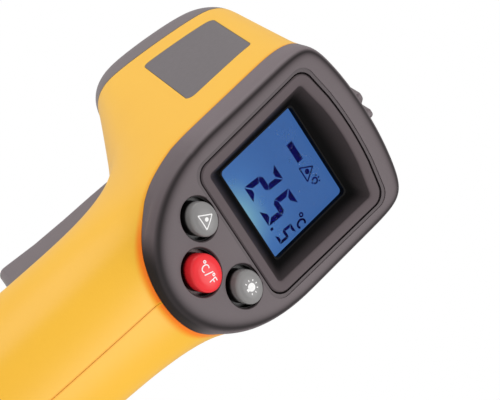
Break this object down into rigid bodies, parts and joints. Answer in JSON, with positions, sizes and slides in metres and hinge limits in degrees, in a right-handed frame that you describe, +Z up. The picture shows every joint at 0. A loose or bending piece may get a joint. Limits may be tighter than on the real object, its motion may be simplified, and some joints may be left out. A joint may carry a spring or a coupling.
{
  "type": "infrared thermometer",
  "caption": "Pistol-grip infrared thermometer with a tilted display, oval keys, a sprung trigger, a hooded lens nose and a battery cover in the grip.",
  "frame": {"origin": "middle of the bounding box at the grip's base", "axes": "+Z up the grip to the top sight, +Y the way the nose points, +X across the body"},
  "size_m": [0.0434, 0.1057, 0.1526],
  "materials": {
    "yellow_plastic": "fine satin texture",
    "dark_grey_plastic": "fine satin texture",
    "black_plastic": "matte",
    "grey_rubber": "satin",
    "red_rubber": "satin",
    "clear_window": "clear",
    "lcd_blue": "blue lit liquid crystal",
    "light_guide": "gloss",
    "zebra_rubber": "matte",
    "green_board": "solder mask",
    "steel": "bright",
    "brass": "turned",
    "ir_lens": "dark lens",
    "cell_jacket": "printed jacket, bare of text"
  },
  "bodies": {
    "housing": {"left_housing": "yellow_plastic", "right_housing": "yellow_plastic", "rear_bezel": "dark_grey_plastic", "nose_ring": "dark_grey_plastic", "top_sight": "dark_grey_plastic", "left_label": "dark_grey_plastic", "right_label": "dark_grey_plastic", "display_frame": "black_plastic", "lens_tube": "black_plastic", "optics_bracket": "black_plastic", "trigger_switch": "black_plastic", "battery_tray": "black_plastic", "display_window": "clear_window", "lcd_panel": "lcd_blue", "backlight_panel": "light_guide", "zebra_strip": "zebra_rubber", "main_board": "green_board", "sensor_board": "green_board", "laser_switch": "steel", "unit_switch": "steel", "light_switch": "steel", "thermopile": "steel", "trigger_pin": "steel", "trigger_spring": "steel", "case_screw_head": "steel", "case_screw_grip": "steel", "case_screw_base": "steel", "contact_plate": "steel", "contact_spring_left": "steel", "contact_spring_right": "steel", "laser_module": "brass", "ir_lens": "ir_lens", "battery_left": "cell_jacket", "battery_right": "cell_jacket"},
    "trigger": {"trigger": "dark_grey_plastic"},
    "laser_key": {"laser_button": "grey_rubber", "laser_plunger": "black_plastic"},
    "unit_key": {"unit_button": "red_rubber", "unit_plunger": "black_plastic"},
    "light_key": {"light_button": "grey_rubber", "light_plunger": "black_plastic"},
    "door": {"battery_door": "yellow_plastic"},
    "micro_plunger": {"switch_plunger": "red_rubber"}
  },
  "joints": [
    {"name": "trigger_hinge", "type": "hinge", "parent": "housing", "child": "trigger", "pos_m": [0, -0.001, 0.097], "axis": [-1, 0, 0], "range_deg": [0, 6], "stiffness_Nm_per_rad": 0.5, "springref_deg": -5.73},
    {"name": "laser_press", "type": "slide", "parent": "housing", "child": "laser_key", "axis": [0, 0.9397, -0.342], "range_m": [0, 0.0009], "stiffness_N_per_m": 800, "springref_m": -0.0004},
    {"name": "unit_press", "type": "slide", "parent": "housing", "child": "unit_key", "axis": [0, 0.9397, -0.342], "range_m": [0, 0.0009], "stiffness_N_per_m": 800, "springref_m": -0.0004},
    {"name": "light_press", "type": "slide", "parent": "housing", "child": "light_key", "axis": [0, 0.9397, -0.342], "range_m": [0, 0.0009], "stiffness_N_per_m": 800, "springref_m": -0.0004},
    {"name": "door_pull", "type": "slide", "parent": "housing", "child": "door", "axis": [0, 0.9763, -0.2164], "range_m": [0, 0.03]},
    {"name": "micro_slide", "type": "slide", "parent": "housing", "child": "micro_plunger", "axis": [0, -1, 0], "range_m": [0, 0.0018]}
  ],
  "couplings": [
    {"joint": "micro_slide", "follows": "trigger_hinge", "m_per_rad": 0.0165}
  ]
}
